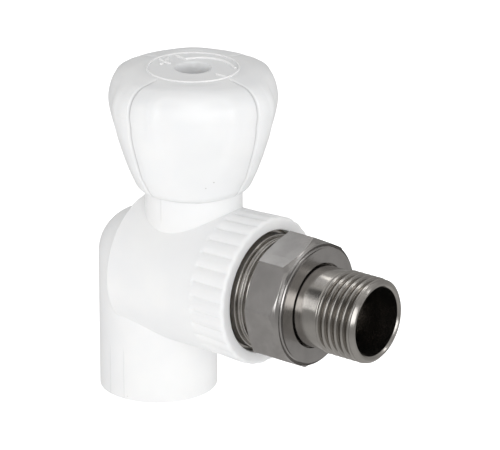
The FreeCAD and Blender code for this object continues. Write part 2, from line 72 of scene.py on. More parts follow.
tail_low, tail_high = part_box("tail_piece")
stem_low, stem_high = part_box("stem")
OUTLET_Z = (tail_low.z + tail_high.z) / 2
STEM_X = (stem_low.x + stem_high.x) / 2
BARREL_RADIUS = 18.0 * MM
SOCKET_RADIUS = 14.65 * MM
NECK_RADIUS = 12.0 * MM
COLLAR_BACK = 24.0 * MM
NECK_FOOT = 49.0 * MM
NECK_SEAM_X = STEM_X - 0.6 * MM
SOCKET_SEAMS_X = -1.5 * MM
SOCKET_SEAMS_HALF_GAP = 2.35 * MM


class Wire:
    """A socket in a node tree. Arithmetic on it adds Math nodes, so a formula reads as a formula."""

    def __init__(self, recipe, socket):
        self.recipe = recipe
        self.socket = socket

    def _math(self, operation, *terms):
        values = dict(enumerate(terms))
        return self.recipe.node("ShaderNodeMath", {"operation": operation}, values)

    def __add__(self, other):
        return self._math("ADD", self, other)

    def __sub__(self, other):
        return self._math("SUBTRACT", self, other)

    def __mul__(self, other):
        return self._math("MULTIPLY", self, other)

    def __truediv__(self, other):
        return self._math("DIVIDE", self, other)

    def __rsub__(self, other):
        return self._math("SUBTRACT", other, self)

    def __neg__(self):
        return self * -1

    __radd__ = __add__
    __rmul__ = __mul__

    def root(self):
        return self._math("SQRT", self)

    def size(self):
        return self._math("ABSOLUTE", self)

    def least(self, other):
        return self._math("MINIMUM", self, other)

    def fold(self, period):
        """Runs 0 up to half a period and back, over and over."""
        return self._math("PINGPONG", self, period / 2)

    def angle_over(self, other):
        return self._math("ARCTAN2", self, other)

    def step(self, low, high):
        """0 below low, 1 above high, and a soft rise between; with low above high it falls instead."""
        settings = {"interpolation_type": "SMOOTHSTEP"}
        if low < high:
            return self.recipe.node("ShaderNodeMapRange", settings, {"Value": self, 1: low, 2: high})
        return 1 - self.step(high, low)


class Recipe:
    """A node tree that is being built, for a material, a geometry modifier or the world."""

    def __init__(self, tree):
        self.tree = tree

    def node(self, kind, settings=None, values=None, out=0):
        """Adds a node: its type, its settings, its sockets' values or links, and the output to carry on."""
        made = self.tree.nodes.new(kind)
        for name, setting in (settings or {}).items():
            setattr(made, name, setting)
        for name, value in (values or {}).items():
            if isinstance(value, Wire):
                self.tree.links.new(value.socket, made.inputs[name])
            else:
                made.inputs[name].default_value = value
        return Wire(self, made.outputs[out]) if made.outputs else None

    def place(self):
        return self.node("ShaderNodeTexCoord", out="Object")

    def split(self, vector):
        """The three parts of a vector."""
        made = self.node("ShaderNodeSeparateXYZ", values={0: vector})
        return [Wire(self, made.socket.node.outputs[part]) for part in range(3)]

    def join(self, x, y, z):
        return self.node("ShaderNodeCombineXYZ", values={0: x, 1: y, 2: z})

    def cloud(self, vector, scale, detail=2.0, **values):
        """Soft noise from 0 to 1, with `scale` lumps to the metre."""
        values.update({"Vector": vector, "Scale": scale, "Detail": detail})
        return self.node("ShaderNodeTexNoise", values=values)

    def stretched(self, vector, x, y, z):
        return self.node("ShaderNodeMapping", values={"Vector": vector, "Scale": (x, y, z)})

    def blend(self, share, first, second):
        """One colour over another."""
        return self.node("ShaderNodeMix", {"data_type": "RGBA"}, {0: share, 6: first, 7: second}, 2)

    def relief(self, height, depth, strength):
        """A fine relief in the surface: height runs 0 to 1 over `depth` metres."""
        return self.node("ShaderNodeBump", values={"Height": height, "Distance": depth, "Strength": strength})


def material_from(name, describe):
    """A material whose shader values come from describe(recipe)."""
    material = bpy.data.materials.new(name)
    material.use_nodes = True
    material.node_tree.nodes.clear()
    recipe = Recipe(material.node_tree)
    shader = recipe.node("ShaderNodeBsdfPrincipled", values=describe(recipe))
    recipe.node("ShaderNodeOutputMaterial", values={"Surface": shader})
    return material


def moulding_flecks(recipe, place):
    """Rare dark flecks of dust that were caught in the white plastic."""
    cell = recipe.node("ShaderNodeTexVoronoi", values={"Vector": place, "Scale": 210.0})
    rare = recipe.cloud(place, 130.0, 1.0).step(0.62, 0.70)
    return cell.step(0.055, 0.02) * rare


def white_plastic(recipe):
    place = recipe.place()
    x, y, z = recipe.split(place)
    cloudy = recipe.cloud(place, 70.0, 3.0)
    grain = recipe.cloud(place, 1500.0, 2.0)
    flow = recipe.cloud(recipe.stretched(place, 1.0, 1.0, 0.25), 260.0, 2.0)
    on_neck = (z - NECK_FOOT).step(-1.2 * MM, 0.0)
    neck_seam = (x - NECK_SEAM_X).size().step(0.22 * MM, 0.05 * MM) * on_neck
    on_socket = z.step(14 * MM, 12 * MM)
    from_seam = ((x - SOCKET_SEAMS_X).size() - SOCKET_SEAMS_HALF_GAP).size()
    socket_seams = from_seam.step(0.20 * MM, 0.04 * MM) * on_socket
    seam_line_and_shade = (neck_seam + socket_seams).least(1.0)
    tint = recipe.blend(cloudy.step(0.35, 0.7), (0.865, 0.868, 0.872, 1), (0.900, 0.900, 0.896, 1))
    tint = recipe.blend(moulding_flecks(recipe, place) * 0.6, tint, (0.28, 0.26, 0.23, 1))
    # Painted shade: the parting lines are tinted darker, as if shade lay in them; their relief in the normal
    # below is the real line.
    tint = recipe.blend(seam_line_and_shade * 0.3, tint, (0.70, 0.70, 0.69, 1))
    return {
        "Base Color": tint,
        "Roughness": 0.30 + 0.10 * flow + 0.06 * grain,
        "Specular IOR Level": 0.45,
        "Subsurface Weight": 0.12,
        "Subsurface Radius": (1.0, 0.92, 0.85),
        "Subsurface Scale": 1.6 * MM,
        "Normal": recipe.relief(grain * 0.25 + flow * 0.5 + seam_line_and_shade * 2.0, 0.05 * MM, 0.6),
    }


WHITE_PLASTIC = material_from("white_plastic", white_plastic)


def piece_of(name, mesh, materials, body, slot, *nodes):
    """A finished mesh as a piece that rides on a body, takes the given materials and stands for CAD nodes;
    the slot is not used.
    """
    piece = bpy.data.objects.new(name, mesh)
    bpy.context.scene.collection.objects.link(piece)
    mesh.materials.clear()
    for material in materials:
        mesh.materials.append(material)
    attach(piece, body)
    if nodes:
        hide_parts(*nodes)
    return piece


def smoothed(mesh, crease):
    """Smooth shading, with an edge kept wherever two faces meet at more than crease degrees."""
    mesh.shade_smooth()
    mesh.set_sharp_from_angle(angle=math.radians(crease))
    return mesh


def machined_copy(node, crease=28, beyond=None):
    """A copy of a CAD node as one joined surface; beyond cuts it off square at that x and caps it."""
    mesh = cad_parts[node].data.copy()
    mesh.name = node + "_surface"
    work = bmesh.new()
    work.from_mesh(mesh)
    bmesh.ops.remove_doubles(work, verts=work.verts, dist=0.002 * MM)
    if beyond is not None:
        everything = work.verts[:] + work.edges[:] + work.faces[:]
        bmesh.ops.bisect_plane(
            work, geom=everything, plane_co=(beyond, 0, 0), plane_no=(1, 0, 0), clear_outer=True
        )
        bmesh.ops.holes_fill(work, edges=[edge for edge in work.edges if edge.is_boundary], sides=0)
    work.to_mesh(mesh)
    work.free()
    return smoothed(mesh, crease)


def trued(mesh, cylinders):
    """Gives the faces that lie on one of the cylinders (centre, axis, radius) the cylinder's own normals."""
    corner_normals = [Vector(corner.vector) for corner in mesh.corner_normals]
    for face in mesh.polygons:
        spots = [mesh.vertices[index].co for index in face.vertices]
        for centre, axis, radius in cylinders:
            arms = [spot - centre - axis * (spot - centre).dot(axis) for spot in spots]
            if all(abs(arm.length - radius) < 0.03 * MM for arm in arms):
                for loop, arm in zip(face.loop_indices, arms):
                    corner_normals[loop] = arm.normalized() if face.normal.dot(arm) > 0 else -arm.normalized()
                break
    mesh.normals_split_custom_set(corner_normals)
    return mesh


BODY_CYLINDERS = [
    (Vector((0, 0, OUTLET_Z)), Vector((1, 0, 0)), BARREL_RADIUS),
    (Vector((0, 0, 0)), Vector((0, 0, 1)), SOCKET_RADIUS),
    (Vector((STEM_X, 0, 0)), Vector((0, 0, 1)), NECK_RADIUS),
]
piece_of(
    "body_moulding",
    trued(machined_copy("valve_body", 24, beyond=COLLAR_BACK - 0.02 * MM), BODY_CYLINDERS),
    [WHITE_PLASTIC],
    "valve",
    "white_plastic",
    "valve_body",
)

# ---------------------------------------------------------------------------------------------------------
# The collar at the barrel's mouth, part of the same moulding. Thirty convex reeds stiffen it round the
# threaded bush. They rise out of the barrel and run on over the rounded front edge.
# ---------------------------------------------------------------------------------------------------------

COLLAR_FACE = 34.8 * MM
COLLAR_BORE = 15.25 * MM
REEDS = 30
REED_DEPTH = 0.52 * MM
REED_STEPS = 12


def rounded_outline(corners, steps=5):
    """A closed outline with rounded corners. Each corner is (along, out) or (along, out, radius), in mm."""
    outline = []
    for index, corner in enumerate(corners):
        here = Vector(corner[:2])
        if len(corner) == 2:
            outline.append(here)
            continue
        before = Vector(corners[index - 1][:2]) - here
        after = Vector(corners[(index + 1) % len(corners)][:2]) - here
        half = before.angle(after) / 2
        cut = min(corner[2] / math.tan(half), before.length * 0.49, after.length * 0.49)
        toward = (before.normalized() + after.normalized()).normalized()
        middle = here + toward * (cut / math.cos(half))
        start = here + before.normalized() * cut - middle
        end = here + after.normalized() * cut - middle
        arc = [start.normalized().slerp(end.normalized(), step / steps) for step in range(steps + 1)]
        outline += [middle + arm * start.length for arm in arc]
    return outline


def turned_mesh(name, corners, around=192):
    """Turns a closed outline about the outlet's axis, as a lathe would cut it."""
    outline = rounded_outline(corners)
    work = bmesh.new()
    rows = []
    for turn in range(around):
        angle = TURN * turn / around
        row = []
        for station, out in outline:
            point = (station * MM, out * MM * math.cos(angle), OUTLET_Z + out * MM * math.sin(angle))
            row.append(work.verts.new(point))
        rows.append(row)
    count = len(outline)
    for turn in range(around):
        near, far = rows[turn], rows[(turn + 1) % around]
        for index in range(count):
            follow = (index + 1) % count
            work.faces.new((near[index], near[follow], far[follow], far[index]))
    bmesh.ops.recalc_face_normals(work, faces=work.faces)
    mesh = bpy.data.meshes.new(name)
    work.to_mesh(mesh)
    work.free()
    return smoothed(mesh, 30)


def geometry_recipe(name, inputs):
    """A geometry tree with named number inputs: the recipe, its Wires and its sockets' identifiers."""
    tree = bpy.data.node_groups.new(name, "GeometryNodeTree")
    tree.interface.new_socket("Geometry", in_out="INPUT", socket_type="NodeSocketGeometry")
    tree.interface.new_socket("Geometry", in_out="OUTPUT", socket_type="NodeSocketGeometry")
    names = {}
    for label in inputs:
        socket = tree.interface.new_socket(label, in_out="INPUT", socket_type="NodeSocketFloat")
        names[label] = socket.identifier
    recipe = Recipe(tree)
    entry = tree.nodes.new("NodeGroupInput")
    wires = {label: Wire(recipe, entry.outputs[label]) for label in ["Geometry", *inputs]}
    return recipe, wires, names


def geometry_end(recipe, shape, material):
    """The tree's last nodes: instances made real, the finish set, and the shape handed out."""
    real = recipe.node("GeometryNodeRealizeInstances", values={0: shape})
    finished = recipe.node("GeometryNodeSetMaterial", values={"Geometry": real, "Material": material})
    recipe.node("NodeGroupOutput", values={0: finished})


def mesh_through(mesh, recipe, names, sizes):
    """Runs a mesh through a geometry tree with its inputs set, and returns the plain mesh that comes out."""
    blank = bpy.data.objects.new("blank", mesh)
    bpy.context.scene.collection.objects.link(blank)
    modifier = blank.modifiers.new("shape", "NODES")
    modifier.node_group = recipe.tree
    for label, value in sizes.items():
        modifier[names[label]] = float(value)
    graph = bpy.context.evaluated_depsgraph_get()
    result = bpy.data.meshes.new_from_object(blank.evaluated_get(graph), depsgraph=graph)
    blank.modifiers.clear()
    bpy.data.objects.remove(blank)
    return result


def reed_recipe():
    """Presses cusped grooves into a turned ring: its surface drops towards the line between two reeds."""
    labels = ["Reeds", "Depth", "Fade Start", "Fade End", "Kept"]
    recipe, given, names = geometry_recipe("collar_reeds", labels)
    spot = recipe.node("GeometryNodeInputPosition")
    x, y, z = recipe.split(spot)
    rise = z - OUTLET_Z
    angle = rise.angle_over(y)
    radius = (y * y + rise * rise).root()
    across = (angle * given["Reeds"] / TURN).fold(1.0) * 2
    fade = recipe.node(
        "ShaderNodeMapRange",
        {"interpolation_type": "SMOOTHSTEP"},
        {"Value": x, 1: given["Fade Start"], 2: given["Fade End"], 3: 1.0, 4: given["Kept"]},
    )
    outside = radius.step(16.2 * MM, 17.0 * MM)
    ramp = x.step(COLLAR_BACK, COLLAR_BACK + 0.9 * MM)
    drop = given["Depth"] * across * across * fade * outside * ramp
    scale = 1 - drop / radius
    moved = recipe.join(x, y * scale, rise * scale + OUTLET_Z)
    shape = recipe.node("GeometryNodeSetPosition", values={"Geometry": given["Geometry"], "Position": moved})
    geometry_end(recipe, shape, WHITE_PLASTIC)
    return recipe, names


reeds, reed_inputs = reed_recipe()
back, face, bore = COLLAR_BACK / MM, COLLAR_FACE / MM, COLLAR_BORE / MM
ring_stations = [(back + 0.4 * step, 18.04 + 0.02 * step) for step in range(23)]
collar_blank = turned_mesh(
    "collar_blank",
    [
        (back - 0.6, bore),
        (back - 0.6, 17.6),
        (back - 0.05, 17.97),
        *ring_stations,
        (face, 18.5, 1.3),
        (face, bore, 0.35),
    ],
    around=REEDS * REED_STEPS,
)
collar_mesh = mesh_through(
    collar_blank,
    reeds,
    reed_inputs,
    {"Reeds": REEDS, "Depth": REED_DEPTH, "Fade Start": 32.9 * MM, "Fade End": 34.7 * MM, "Kept": 0.4},
)
piece_of("collar_reeded", smoothed(collar_mesh, 24), [WHITE_PLASTIC], "valve", "white_plastic")

# ---------------------------------------------------------------------------------------------------------
# The brass bush moulded into the collar and the union's end piece screwed into it, both turned from bar
# and nickel plated. The bush's ring, a bead and a relief groove show between the collar and the nut.
# ---------------------------------------------------------------------------------------------------------


def plated(recipe, tone, gloss, lines):
    """Bright nickel over turned brass: fine tool marks round the axis, faint stains and small knocks."""
    place = recipe.place()
    x, y, z = recipe.split(place)
    rise = z - OUTLET_Z
    radius = (y * y + rise * rise).root()
    marks = recipe.cloud(recipe.join(x * 9 + radius * 7, 0.0, 0.0), 900.0, 3.0)
    swirl = recipe.cloud(recipe.join(x * 8 + radius * 8, y * 0.6, z * 0.6), 330.0, 2.0)
    stain = recipe.cloud(place, 130.0, 4.0, Roughness=0.6)
    fine = recipe.cloud(place, 2600.0, 2.0)
    knocks = recipe.node("ShaderNodeTexVoronoi", values={"Vector": place, "Scale": 330.0}).step(0.10, 0.02)
    dark = tuple(part * 0.82 for part in tone)
    tint = recipe.blend(stain.step(0.35, 0.72), (*tone, 1), (*dark, 1))
    return {
        "Base Color": tint,
        "Metallic": 1.0,
        "Roughness": gloss + 0.08 * stain + 0.03 * fine + lines * 0.10 * marks,
        "Normal": recipe.relief(marks * lines + swirl * 0.4 * lines + knocks * 0.2, 0.010 * MM, 0.5),
    }


def bright_plate(recipe):
    return plated(recipe, tone=(0.50, 0.48, 0.455), gloss=0.09, lines=1.0)


def satin_plate(recipe):
    return plated(recipe, tone=(0.47, 0.455, 0.445), gloss=0.17, lines=0.35)


NICKEL = material_from("nickel_plate", bright_plate)
SATIN_NICKEL = material_from("nickel_plate_flats", satin_plate)

bush_mesh = turned_mesh(
    "bush",
    [
        (22.0, 11.9, 0.3),
        (22.0, 15.2, 0.3),
        (32.6, 15.2, 0.3),
        (32.6, 14.3),
        (35.5, 14.3, 0.3),
        (35.5, 13.2, 0.25),
        (34.9, 12.6, 0.2),
        (34.9, 11.9, 0.2),
    ],
)
piece_of("bush_ring", bush_mesh, [NICKEL], "valve", "nickel_plate", "outlet_bush")
end_piece_mesh = turned_mesh(
    "end_piece",
    [
        (17.9, 7.0, 0.3),
        (17.9, 11.85, 0.4),
        (35.2, 11.85),
        (35.2, 13.0, 0.1),
        (35.65, 13.7, 0.3),
        (36.35, 13.7, 0.35),
        (36.5, 13.3, 0.1),
        (36.65, 13.62, 0.18),
        (37.1, 13.62, 0.25),
        (37.35, 12.75, 0.2),
        (38.25, 12.3, 0.3),
        (38.55, 13.1, 0.15),
        (39.0, 13.1, 0.15),
        (39.3, 12.3),
        (45.2, 12.3),
        (45.8, 11.6, 0.2),
        (45.8, 6.5, 0.3),
        (18.6, 6.5, 0.3),
    ],
)
piece_of("union_end", end_piece_mesh, [NICKEL], "valve", "nickel_plate", "union_end_piece")


RIDGE_SUNK = 0.25
RUN_OUT_TURNS = 0.2


def thread_recipe():
    """Sweeps a rounded ridge, part sunk in the metal, along a helix; it runs out at both ends."""
    labels = ["Turns", "Radius", "Pitch", "Start", "Foot", "Crest", "Height", "Rounding"]
    recipe, given, names = geometry_recipe("whitworth_thread", labels)
    helix = recipe.node(
        "GeometryNodeCurveSpiral",
        values={
            "Resolution": 96,
            "Rotations": given["Turns"],
            "Start Radius": given["Radius"],
            "End Radius": given["Radius"],
            "Height": given["Turns"] * given["Pitch"],
        },
    )
    helix = recipe.node("GeometryNodeSetCurveNormal", {"mode": "Z_UP"}, {"Curve": helix})
    share = recipe.node("GeometryNodeSplineParameter", out="Factor")
    ends = share.least(1 - share) * given["Turns"] / RUN_OUT_TURNS
    ends = ends.least(1.0)
    helix = recipe.node("GeometryNodeSetCurveRadius", values={"Curve": helix, "Radius": ends})
    ridge = recipe.node(
        "GeometryNodeCurvePrimitiveQuadrilateral",
        {"mode": "TRAPEZOID"},
        {
            "Height": given["Height"] * (1 + RIDGE_SUNK),
            "Bottom Width": given["Foot"],
            "Top Width": given["Crest"],
            "Offset": 0.0,
        },
    )
    ridge = recipe.node(
        "GeometryNodeFilletCurve", {"mode": "POLY"}, {"Curve": ridge, "Count": 3, "Radius": given["Rounding"]}
    )
    spot = recipe.node("GeometryNodeInputPosition")
    across, out, _ = recipe.split(spot)
    standing = recipe.join(-(out + given["Height"] * (1 - RIDGE_SUNK) / 2), across, 0.0)
    ridge = recipe.node("GeometryNodeSetPosition", values={"Geometry": ridge, "Position": standing})
    swept = recipe.node(
        "GeometryNodeCurveToMesh", values={"Curve": helix, "Profile Curve": ridge, "Fill Caps": True}
    )
    lying = recipe.node(
        "GeometryNodeTransform",
        values={
            "Geometry": swept,
            "Translation": recipe.join(given["Start"], 0.0, OUTLET_Z),
            "Rotation": (0.0, math.pi / 2, 0.0),
        },
    )
    geometry_end(recipe, lying, NICKEL)
    return recipe, names


# ---------------------------------------------------------------------------------------------------------
# The union nut: octagon brass bar, bored, chamfered and faced in the lathe, then plated. It is loose on
# the tail and draws the tail's flange against the end piece.
# ---------------------------------------------------------------------------------------------------------



def flats_trued(mesh, least_area):
    """Gives the faces of each flat wider than least_area, in square metres, the flat's own normal."""
    def plane(face):
        lean = tuple(round(value, 2) for value in face.normal)
        return (*lean, round(face.center.dot(face.normal) / MM, 1))

    areas = {}
    for face in mesh.polygons:
        areas[plane(face)] = areas.get(plane(face), 0.0) + face.area
    corner_normals = [Vector(corner.vector) for corner in mesh.corner_normals]
    for face in mesh.polygons:
        if areas[plane(face)] > least_area:
            for loop in face.loop_indices:
                corner_normals[loop] = face.normal.copy()
    mesh.normals_split_custom_set(corner_normals)
    return mesh


nut_mesh = flats_trued(machined_copy("union_nut", 14), 10 * MM * MM)
piece_of("nut_octagon", nut_mesh, [SATIN_NICKEL], "nut", "nickel_plate", "union_nut")

# ---------------------------------------------------------------------------------------------------------
# The tail: a turned tube with a flange for the nut, a plain neck, and a half-inch pipe thread for the
# radiator. The bore's plating is thin and dull.
# ---------------------------------------------------------------------------------------------------------


def dull_bore(recipe):
    """The bore, where the plating is thin and grey over the drill's marks."""
    place = recipe.place()
    x, y, z = recipe.split(place)
    drilled = recipe.cloud(recipe.stretched(place, 0.4, 1.5, 1.5), 160.0, 2.0)
    film = recipe.cloud(place, 240.0, 3.0)
    return {
        "Base Color": recipe.blend(film, (0.42, 0.41, 0.40, 1), (0.52, 0.505, 0.49, 1)),
        "Metallic": 0.2,
        "Roughness": 0.46 + 0.14 * drilled,
        "Normal": recipe.relief(drilled, 0.02 * MM, 0.2),
    }


DULL_BORE = material_from("nickel_bore", dull_bore)
THREAD_PITCH = 1.814
THREAD_ROOT = 9.318
BORE_WALL = 8.55
tail_mesh = turned_mesh(
    "tail",
    [
        (41.6, 8.4, 0.2),
        (41.6, 8.9, 0.2),
        (44.6, 11.9, 0.3),
        (48.2, 11.9, 0.3),
        (48.2, 10.05, 0.4),
        (56.3, 10.05, 0.5),
        (57.0, THREAD_ROOT, 0.3),
        (65.7, THREAD_ROOT, 0.2),
        (66.2, 10.2, 0.15),
        (66.75, 10.3, 0.2),
        (67.5, 9.5, 0.12),
        (67.5, 8.95, 0.12),
        (67.1, 8.5, 0.15),
        (60.0, 8.4),
        (44.0, 8.4),
    ],
)
for face in tail_mesh.polygons:
    middle = face.center
    inside = math.hypot(middle.y, middle.z - OUTLET_Z) < BORE_WALL * MM and face.normal.x < 0.5
    face.material_index = 1 if inside else 0
piece_of("tail_tube", tail_mesh, [NICKEL, DULL_BORE], "tail", "nickel_plate", "tail_piece")

thread, thread_inputs = thread_recipe()
empty_mesh = bpy.data.meshes.new("thread_start")
thread_mesh = mesh_through(
    empty_mesh,
    thread,
    thread_inputs,
    {
        "Turns": 5.55,
        "Radius": THREAD_ROOT * MM,
        "Pitch": THREAD_PITCH * MM,
        "Start": 56.6 * MM,
        "Foot": 1.75 * MM,
        "Crest": 0.42 * MM,
        "Height": 1.15 * MM,
        "Rounding": 0.16 * MM,
    },
)
piece_of("tail_thread", smoothed(thread_mesh, 50), [NICKEL], "tail", "nickel_plate")

# ---------------------------------------------------------------------------------------------------------
# The knob: a hollow moulding, four rounded lobes with a thin groove between each two, a shield-shaped
# panel on each lobe, and a flat boss on top with the turning marks and the screw's well.
# ---------------------------------------------------------------------------------------------------------

LOBE_TURN = math.radians(38.9)
KNOB_SIDE = [
    (12.3, 54.4),
    (13.8, 55.7),
    (15.0, 58.7),
    (16.75, 63.6),
    (18.15, 67.6),
    (19.4, 71.2),
    (20.35, 74.8),
    (20.7, 77.4),
    (20.45, 79.6),
    (19.8, 81.4),
    (18.65, 82.9),
    (16.9, 84.0),
    (14.4, 84.6),
    (11.3, 84.8),
]
KNOB_SQUARENESS = [
    (54.4, 2.0),
    (57.0, 2.8),
    (61.0, 3.4),
    (67.0, 3.1),
    (75.0, 2.55),
    (82.4, 2.65),
    (84.3, 2.65),
    (84.8, 2.0),
]
KNOB_BELLY = 20.7
PANEL_HALF = 9.6
PANEL_TOP = 85.6
PANEL_CORNER = 4.6
PANEL_SUNK = 0.46
PANEL_SWELL = 0.34
PANEL_BORDER = 0.16
GROOVE_DEEP = 0.75
GROOVE_HALF = 0.6
LOBE_COLUMNS = 80
WELL_RADIUS = 4.4
WELL_FLOOR = 70.6


def between(table, value):
    """Straight-line reading of a table of (place, value) pairs."""
    for (low, first), (high, second) in zip(table, table[1:]):
        if value <= high:
            share = max(0.0, (value - low) / (high - low))
            return first + (second - first) * share
    return table[-1][1]


def bent(p, q, r, s, t):
    """A value on the way from q to r, bent as its neighbours p and s ask."""
    square = 2 * p - 5 * q + 4 * r - s
    cube = 3 * q - p - 3 * r + s
    return 0.5 * (2 * q + (r - p) * t + square * t * t + cube * t**3)


def through(points, per_span):
    """A smooth curve through the points."""
    ends = [points[0], *points, points[-1]]
    curve = []
    for four in zip(ends, ends[1:], ends[2:], ends[3:]):
        for step in range(per_span):
            curve.append(tuple(bent(*values, step / per_span) for values in zip(*four)))
    return curve + [points[-1]]


def bell(value, width):
    """1 at zero, dying away to either side."""
    return math.exp(-((value / width) ** 2))


def soft(low, high, value):
    """0 at low, 1 at high, easing in and out."""
    share = min(1.0, max(0.0, (value - low) / (high - low)))
    return share * share * (3 - 2 * share)


def lobe_point(angle, out, height):
    """The surface's radius and height, at an angle from a lobe's middle, for a point of the knob's side."""
    square = between(KNOB_SQUARENESS, height)
    across, along = abs(math.sin(angle)), abs(math.cos(angle))
    radius = out / (across**square + along**square) ** (1 / square)
    sideways = radius * math.sin(angle)
    climb = height + 0.6 * max(0.0, KNOB_BELLY - out) * soft(77.0, 78.0, height)
    wide = PANEL_HALF * soft(48.0, 77.0, height) ** 0.6
    beside = max(abs(sideways) - wide + PANEL_CORNER, 0.0)
    above = max(climb - PANEL_TOP + PANEL_CORNER, 0.0)
    off = math.hypot(beside, above) - PANEL_CORNER
    on_side = soft(57.0, 66.0, height)
    edge = 1.2 + 4.0 * bell(sideways, 5.5)
    radius -= on_side * PANEL_SUNK * soft(0.2, -edge, off)
    radius += on_side * PANEL_SWELL * bell(sideways, 5.2) * soft(89.0, 84.0, climb)
    radius -= on_side * PANEL_BORDER * soft(1.5, 2.3, off) * soft(72.0, 76.0, height)
    shoulder = soft(12.2, 14.8, out) * soft(79.0, 83.6, height)
    height += shoulder * (0.35 * bell(sideways, 5.5) - 0.25 * (1 - bell(sideways, 7.0)))
    gap = abs(radius * math.sin(math.pi / 4 - abs(angle)))
    cleft = soft(54.5, 57.5, height) * soft(11.8, 13.6, out)
    pull = GROOVE_DEEP * max(0.0, 1 - gap / GROOVE_HALF) + 0.25 * bell(gap, 1.9)
    side = soft(84.6, 82.4, height)
    radius -= cleft * pull * (0.35 + 0.65 * side)
    height -= cleft * pull * (1 - side) * 0.35
    return radius, height


def knob_mesh():
    """The whole moulding as one closed skin, its columns closest together beside the grooves."""
    side = through(KNOB_SIDE, 9)
    boss = [(11.3 - 0.69 * step, 84.8) for step in range(1, 10)]
    mouth = [(WELL_RADIUS + 0.3, 84.8), (WELL_RADIUS + 0.1, 84.72), (WELL_RADIUS, 84.5)]
    well = [(WELL_RADIUS, 84.5 - 1.39 * step) for step in range(1, 10)]
    floor = [(WELL_RADIUS, WELL_FLOOR + 0.2), (WELL_RADIUS - 0.2, WELL_FLOOR), (2.1, WELL_FLOOR)]
    inside = [(2.1, 68.9), (6.8, 68.9), (7.4, 68.2), (7.8, 58.0), (8.2, 56.2), (8.8, 54.9), (9.4, 54.4)]
    plain = boss + mouth + well + floor + inside + [(11.9, 54.4)]
    bends = []
    for lobe in range(4):
        for step in range(LOBE_COLUMNS):
            share = step / LOBE_COLUMNS * 2 - 1
            bends.append((lobe, math.pi / 4 * (share + 0.27 * math.sin(math.pi * share))))
    work = bmesh.new()
    columns = []
    for lobe, angle in bends:
        turn = LOBE_TURN + lobe * TURN / 4 + angle
        column = []
        for out, height in side:
            column.append((*lobe_point(angle, out, height), turn))
        column += [(out, height, turn) for out, height in plain]
        columns.append(
            [
                work.verts.new((STEM_X + r * MM * math.cos(a), r * MM * math.sin(a), z * MM))
                for r, z, a in column
            ]
        )
    count = len(columns[0])
    for near, far in zip(columns, columns[1:] + columns[:1]):
        for index in range(count):
            follow = (index + 1) % count
            work.faces.new((near[index], near[follow], far[follow], far[index]))
    bmesh.ops.recalc_face_normals(work, faces=work.faces)
    mesh = bpy.data.meshes.new("knob_surface")
    work.to_mesh(mesh)
    work.free()
    return smoothed(mesh, 38)


def knob_plastic(recipe):
    place = recipe.place()
    x, y, z = recipe.split(place)
    cloudy = recipe.cloud(place, 60.0, 3.0)
    grain = recipe.cloud(place, 1700.0, 2.0)
    flow = recipe.cloud(recipe.stretched(place, 1.0, 1.0, 0.3), 190.0, 2.0)
    parting = (z - 77.0 * MM + (x - y) * 0.004).size().step(0.16 * MM, 0.04 * MM)
    tint = recipe.blend(cloudy.step(0.35, 0.7), (0.850, 0.856, 0.862, 1), (0.885, 0.887, 0.886, 1))
    tint = recipe.blend(moulding_flecks(recipe, place) * 0.5, tint, (0.26, 0.24, 0.22, 1))
    turn = LOBE_TURN + TURN / 8
    along = ((x - STEM_X) * math.cos(turn) + y * math.sin(turn)).size()
    across = (y * math.cos(turn) - (x - STEM_X) * math.sin(turn)).size()
    # Painted shade: each groove between the lobes gets a thin darker line in the colour, away from the boss.
    groove_shade = along.least(across).step(0.40 * MM, 0.05 * MM) * (along + across).step(12.4 * MM, 14.0 * MM)
    tint = recipe.blend(groove_shade * 0.42, tint, (0.34, 0.34, 0.34, 1))
    return {
        "Base Color": tint,
        "Roughness": 0.28 + 0.08 * flow + 0.05 * grain,
        "Specular IOR Level": 0.5,
        "Subsurface Weight": 0.12,
        "Subsurface Radius": (1.0, 0.92, 0.85),
        "Subsurface Scale": 1.6 * MM,
        "Normal": recipe.relief(grain * 0.2 + flow * 0.45 - parting * 0.8, 0.05 * MM, 0.5),
    }


KNOB_PLASTIC = material_from("knob_plastic", knob_plastic)
piece_of("knob_moulding", knob_mesh(), [KNOB_PLASTIC], "spindle", "knob_plastic", "knob")


MARK_HEIGHT = 84.9


def mark_plastic_painted_highlight(recipe):
    """The raised marks, tinted a little lighter than the boss they stand on: a painted highlight, as if they
    catch the light.
    """
    place = recipe.place()
    worn = recipe.cloud(place, 260.0, 2.0)
    return {
        # Painted highlight: both tints are lighter than the knob's plastic; the cloud only mottles between
        # them.
        "Base Color": recipe.blend(worn, (0.90, 0.90, 0.90, 1), (0.94, 0.94, 0.935, 1)),
        "Roughness": 0.30 + 0.10 * worn,
    }


MARK_PLASTIC = material_from("mark_plastic_painted_highlight", mark_plastic_painted_highlight)


def raised_line(name, points, radius, closed=False):
    """A raised moulding line through (right, back) points on the boss, half sunk in it, as a mesh."""
    curve = bpy.data.curves.new(name, "CURVE")
    curve.dimensions = "3D"
    curve.bevel_depth = radius * MM
    curve.bevel_resolution = 3
    curve.use_fill_caps = True
    spline = curve.splines.new("POLY")
    spline.points.add(len(points) - 1)
    spline.use_cyclic_u = closed
    for spot, (across, deep) in zip(spline.points, points):
        x = across * math.cos(LOBE_TURN) - deep * math.sin(LOBE_TURN)
        y = across * math.sin(LOBE_TURN) + deep * math.cos(LOBE_TURN)
        spot.co = (STEM_X + x * MM, y * MM, MARK_HEIGHT * MM, 1)
    shape = bpy.data.objects.new(name, curve)
    bpy.context.scene.collection.objects.link(shape)
    graph = bpy.context.evaluated_depsgraph_get()
    mesh = bpy.data.meshes.new_from_object(shape.evaluated_get(graph), depsgraph=graph)
    bpy.data.objects.remove(shape)
    return smoothed(mesh, 60)


def arc_points(radius, start, end, steps):
    """Points round the boss from one bearing to another, in degrees from the right towards the back."""
    bearings = [math.radians(start + (end - start) * step / steps) for step in range(steps + 1)]
    return [(radius * math.cos(bearing), radius * math.sin(bearing)) for bearing in bearings]


